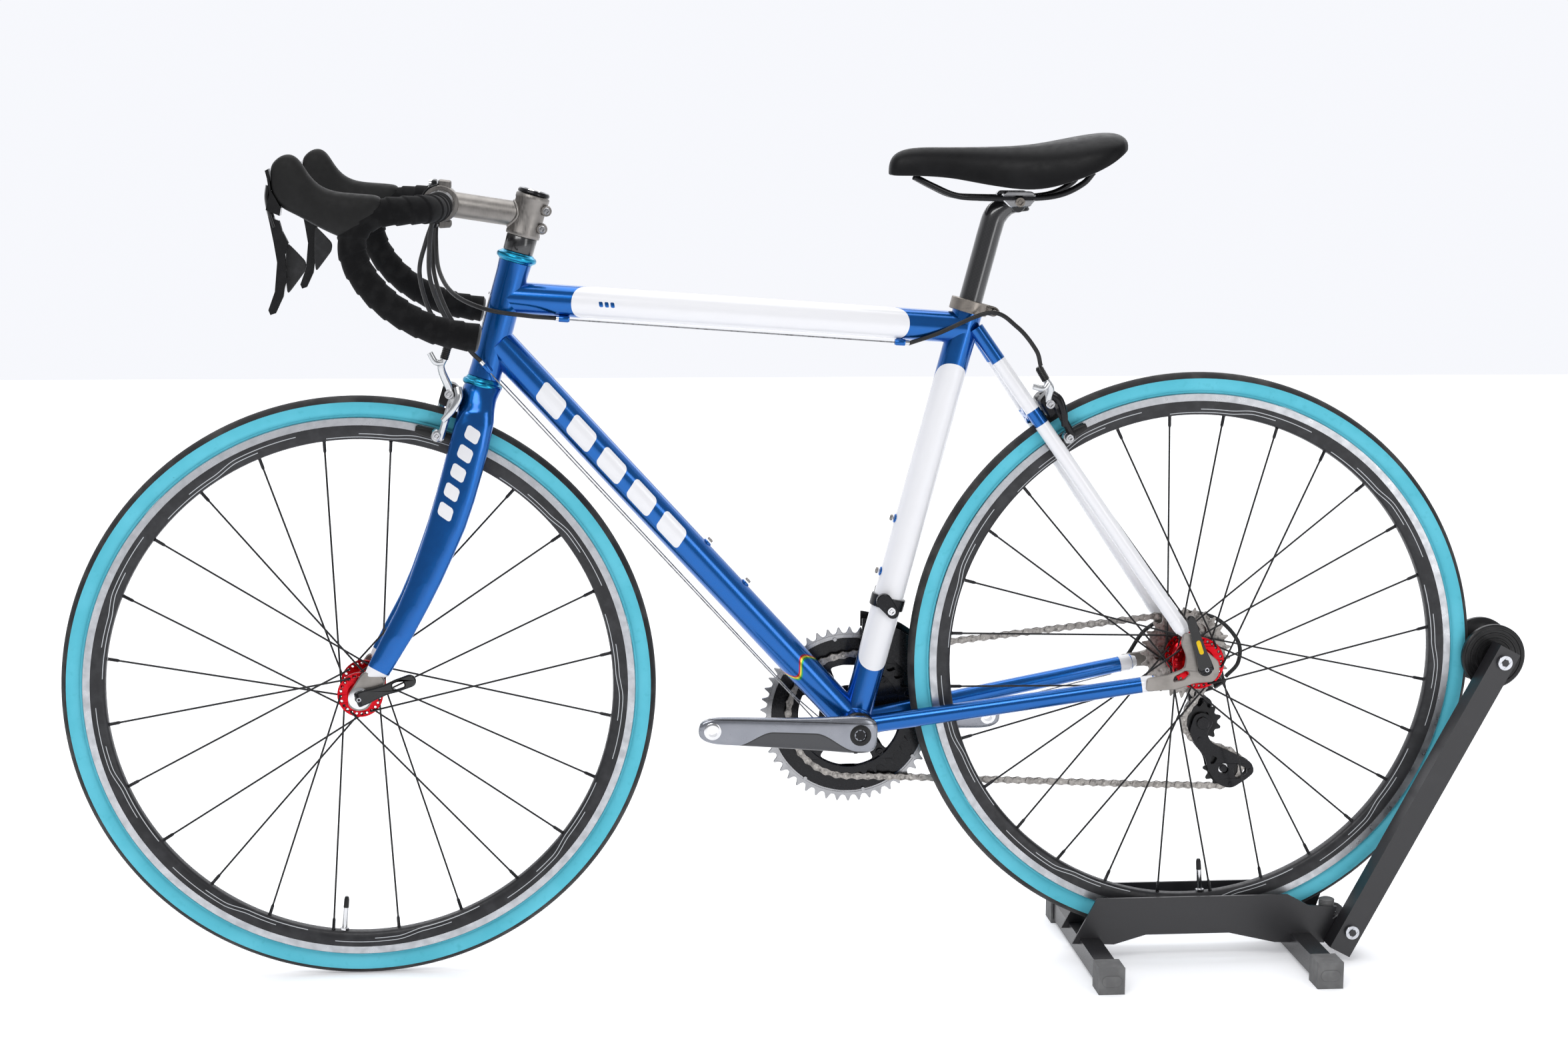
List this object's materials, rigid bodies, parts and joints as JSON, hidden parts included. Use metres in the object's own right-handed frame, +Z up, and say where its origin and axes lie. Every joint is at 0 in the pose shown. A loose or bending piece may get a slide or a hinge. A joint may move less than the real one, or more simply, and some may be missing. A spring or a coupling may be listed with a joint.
{
  "type": "bicycle on stand",
  "caption": "Road bicycle with drop bars, standing with its rear wheel in a low display stand whose sprung arm and roller hold the tyre.",
  "frame": {"origin": "centre of the bounding box, on the floor", "axes": "+X towards the rear wheel and stand arm, +Y towards the chain side, +Z up"},
  "size_m": [1.6921, 0.457, 0.968],
  "materials": {
    "blue_paint": "candy metallic gloss",
    "white_paint": "gloss",
    "teal_anodised": "satin anodised",
    "titanium": "brushed",
    "carbon": "gloss",
    "rail_metal": "satin",
    "saddle_cover": "smooth matt",
    "bar_alloy": "satin",
    "bar_tape": "cork tape",
    "hood_rubber": "matt",
    "lever_black": "gloss",
    "calliper_metal": "polished and black",
    "tyre_rubber": "turquoise wall, black tread",
    "rim_black": "matt anodised with machined brake track",
    "hub_red": "anodised gloss",
    "crank_grey": "gloss anodised",
    "ring_black": "anodised",
    "drive_steel": "plated steel",
    "derailleur_black": "satin",
    "lever_metal": "gloss",
    "cable_black": "satin",
    "powder_black": "satin powder coat",
    "foot_rubber": "matt"
  },
  "bodies": {
    "stand": {"stand_base": "powder_black", "stand_foot_front_left": "foot_rubber", "stand_foot_front_right": "foot_rubber", "stand_foot_rear_left": "foot_rubber", "stand_foot_rear_right": "foot_rubber"},
    "stand_arm": {"stand_arm": "powder_black"},
    "stand_roller": {"stand_roller": "powder_black"},
    "frame": {"head_tube": "blue_paint", "top_tube": "white_paint", "down_tube": "blue_paint", "seat_tube": "white_paint", "left_chainstay": "blue_paint", "right_chainstay": "blue_paint", "seatstays": "white_paint", "headset_upper": "teal_anodised", "headset_lower": "teal_anodised", "seat_clamp": "titanium", "seatpost": "carbon", "saddle_rails": "rail_metal", "saddle": "saddle_cover", "chain": "drive_steel", "rear_brake_cable": "cable_black", "left_shift_cable": "cable_black", "right_shift_cable": "cable_black"},
    "steering": {"fork": "blue_paint", "stem": "titanium", "handlebar": "bar_alloy", "left_bar_tape": "bar_tape", "right_bar_tape": "bar_tape", "left_hood": "hood_rubber", "right_hood": "hood_rubber", "front_brake_cable": "cable_black"},
    "front_wheel": {"front_tyre": "tyre_rubber", "front_rim": "rim_black", "front_hub": "hub_red"},
    "rear_wheel": {"rear_tyre": "tyre_rubber", "rear_rim": "rim_black", "rear_hub": "hub_red"},
    "cassette": {"cassette": "drive_steel"},
    "crankset": {"left_crank": "crank_grey", "right_crank": "crank_grey", "big_ring": "ring_black", "small_ring": "ring_black"},
    "upper_pulley": {"upper_pulley": "derailleur_black"},
    "lower_pulley": {"lower_pulley": "derailleur_black"},
    "rear_derailleur": {"rear_derailleur": "derailleur_black", "derailleur_cage": "derailleur_black"},
    "front_derailleur": {"front_derailleur": "derailleur_black"},
    "front_quick_release": {"front_quick_release": "lever_metal"},
    "rear_quick_release": {"rear_quick_release": "lever_metal"},
    "left_lever_bracket": {"left_lever_bracket": "lever_black"},
    "left_brake_lever": {"left_brake_lever": "lever_black"},
    "left_shift_paddle": {"left_shift_paddle": "lever_black"},
    "front_calliper_left_arm": {"front_calliper_left_arm": "calliper_metal"},
    "rear_calliper_left_arm": {"rear_calliper_left_arm": "calliper_metal"},
    "right_lever_bracket": {"right_lever_bracket": "lever_black"},
    "right_brake_lever": {"right_brake_lever": "lever_black"},
    "right_shift_paddle": {"right_shift_paddle": "lever_black"},
    "front_calliper_right_arm": {"front_calliper_right_arm": "calliper_metal"},
    "rear_calliper_right_arm": {"rear_calliper_right_arm": "calliper_metal"}
  },
  "joints": [
    {"name": "bicycle_lift", "type": "slide", "parent": "stand", "child": "frame", "axis": [0, 0, 1], "range_m": [0, 0.4]},
    {"name": "stand_arm_hinge", "type": "hinge", "parent": "stand", "child": "stand_arm", "pos_m": [0.6385, -0.047, 0.037], "axis": [0, 1, 0], "range_deg": [0, 35], "stiffness_Nm_per_rad": 6, "springref_deg": -28.65},
    {"name": "roller_spin", "type": "hinge", "parent": "stand_arm", "child": "stand_roller", "pos_m": [0.8085, 0, 0.358], "axis": [0, 1, 0], "continuous": true},
    {"name": "steering", "type": "hinge", "parent": "frame", "child": "steering", "pos_m": [-0.3705, 0, 0.685], "axis": [0.2672, 0, 0.9636], "range_deg": [-60, 60], "deforming": ["rear_brake_cable", "left_shift_cable", "right_shift_cable"]},
    {"name": "front_wheel_spin", "type": "hinge", "parent": "steering", "child": "front_wheel", "pos_m": [-0.5115, 0, 0.335], "axis": [0, 1, 0], "continuous": true},
    {"name": "rear_wheel_spin", "type": "hinge", "parent": "frame", "child": "rear_wheel", "pos_m": [0.4505, 0, 0.358], "axis": [0, 1, 0], "continuous": true},
    {"name": "crank_spin", "type": "hinge", "parent": "frame", "child": "crankset", "pos_m": [0.0535, 0, 0.2845], "axis": [0, 1, 0], "continuous": true, "deforming": ["chain"]},
    {"name": "cassette_spin", "type": "hinge", "parent": "frame", "child": "cassette", "pos_m": [0.4505, 0.03, 0.358], "axis": [0, 1, 0], "continuous": true},
    {"name": "rear_derailleur_shift", "type": "slide", "parent": "frame", "child": "rear_derailleur", "axis": [0, 1, 0], "range_m": [-0.0015, 0.024], "deforming": ["chain", "right_shift_cable"]},
    {"name": "front_derailleur_shift", "type": "slide", "parent": "frame", "child": "front_derailleur", "axis": [0, 1, 0], "range_m": [0, 0.006], "deforming": ["chain"]},
    {"name": "upper_pulley_spin", "type": "hinge", "parent": "rear_derailleur", "child": "upper_pulley", "pos_m": [0.4745, 0.03, 0.272], "axis": [0, 1, 0], "continuous": true},
    {"name": "lower_pulley_spin", "type": "hinge", "parent": "rear_derailleur", "child": "lower_pulley", "pos_m": [0.5015, 0.03, 0.216], "axis": [0, 1, 0], "continuous": true},
    {"name": "left_lever_pull", "type": "hinge", "parent": "steering", "child": "left_lever_bracket", "pos_m": [-0.5775, -0.21, 0.89], "axis": [0, -1, 0], "range_deg": [0, 22], "stiffness_Nm_per_rad": 0.5, "springref_deg": -5.73},
    {"name": "left_lever_swing", "type": "hinge", "parent": "left_lever_bracket", "child": "left_brake_lever", "pos_m": [-0.5795, -0.21, 0.872], "axis": [1, 0, 0], "range_deg": [0, 15], "stiffness_Nm_per_rad": 0.3, "springref_deg": -5.73},
    {"name": "left_paddle_swing", "type": "hinge", "parent": "left_brake_lever", "child": "left_shift_paddle", "pos_m": [-0.5655, -0.202, 0.85], "axis": [1, 0, 0], "range_deg": [0, 12], "stiffness_Nm_per_rad": 0.2, "springref_deg": -5.73},
    {"name": "right_lever_pull", "type": "hinge", "parent": "steering", "child": "right_lever_bracket", "pos_m": [-0.5775, 0.21, 0.89], "axis": [0, -1, 0], "range_deg": [0, 22], "stiffness_Nm_per_rad": 0.5, "springref_deg": -5.73},
    {"name": "right_lever_swing", "type": "hinge", "parent": "right_lever_bracket", "child": "right_brake_lever", "pos_m": [-0.5795, 0.21, 0.872], "axis": [-1, 0, 0], "range_deg": [0, 15], "stiffness_Nm_per_rad": 0.3, "springref_deg": -5.73},
    {"name": "right_paddle_swing", "type": "hinge", "parent": "right_brake_lever", "child": "right_shift_paddle", "pos_m": [-0.5655, 0.202, 0.85], "axis": [-1, 0, 0], "range_deg": [0, 12], "stiffness_Nm_per_rad": 0.2, "springref_deg": -5.73},
    {"name": "front_left_arm_pivot", "type": "hinge", "parent": "steering", "child": "front_calliper_left_arm", "pos_m": [-0.4085, 0, 0.672], "axis": [0.9563, 0, -0.2923], "range_deg": [0, 2.4]},
    {"name": "front_right_arm_pivot", "type": "hinge", "parent": "steering", "child": "front_calliper_right_arm", "pos_m": [-0.4085, 0, 0.672], "axis": [-0.9563, 0, 0.2923], "range_deg": [0, 2.4]},
    {"name": "rear_left_arm_pivot", "type": "hinge", "parent": "frame", "child": "rear_calliper_left_arm", "pos_m": [0.2725, 0, 0.658], "axis": [0.86, 0, 0.5103], "range_deg": [0, 2.4]},
    {"name": "rear_right_arm_pivot", "type": "hinge", "parent": "frame", "child": "rear_calliper_right_arm", "pos_m": [0.2725, 0, 0.658], "axis": [-0.86, 0, -0.5103], "range_deg": [0, 2.4]},
    {"name": "front_quick_release_throw", "type": "hinge", "parent": "steering", "child": "front_quick_release", "pos_m": [-0.5115, -0.061, 0.335], "axis": [-0.3404, 0, 0.9403], "range_deg": [-150, 0]},
    {"name": "rear_quick_release_throw", "type": "hinge", "parent": "frame", "child": "rear_quick_release", "pos_m": [0.4505, -0.076, 0.358], "axis": [-0.9454, 0, -0.326], "range_deg": [-150, 0]}
  ],
  "couplings": [
    {"joint": "front_left_arm_pivot", "follows": "left_lever_pull", "ratio": 0.1},
    {"joint": "front_right_arm_pivot", "follows": "left_lever_pull", "ratio": 0.1},
    {"joint": "rear_left_arm_pivot", "follows": "right_lever_pull", "ratio": 0.1},
    {"joint": "rear_right_arm_pivot", "follows": "right_lever_pull", "ratio": 0.1},
    {"joint": "cassette_spin", "follows": "crank_spin", "ratio": 1.5652},
    {"joint": "lower_pulley_spin", "follows": "crank_spin", "ratio": 3.2727},
    {"joint": "upper_pulley_spin", "follows": "crank_spin", "ratio": -3.2727}
  ]
}
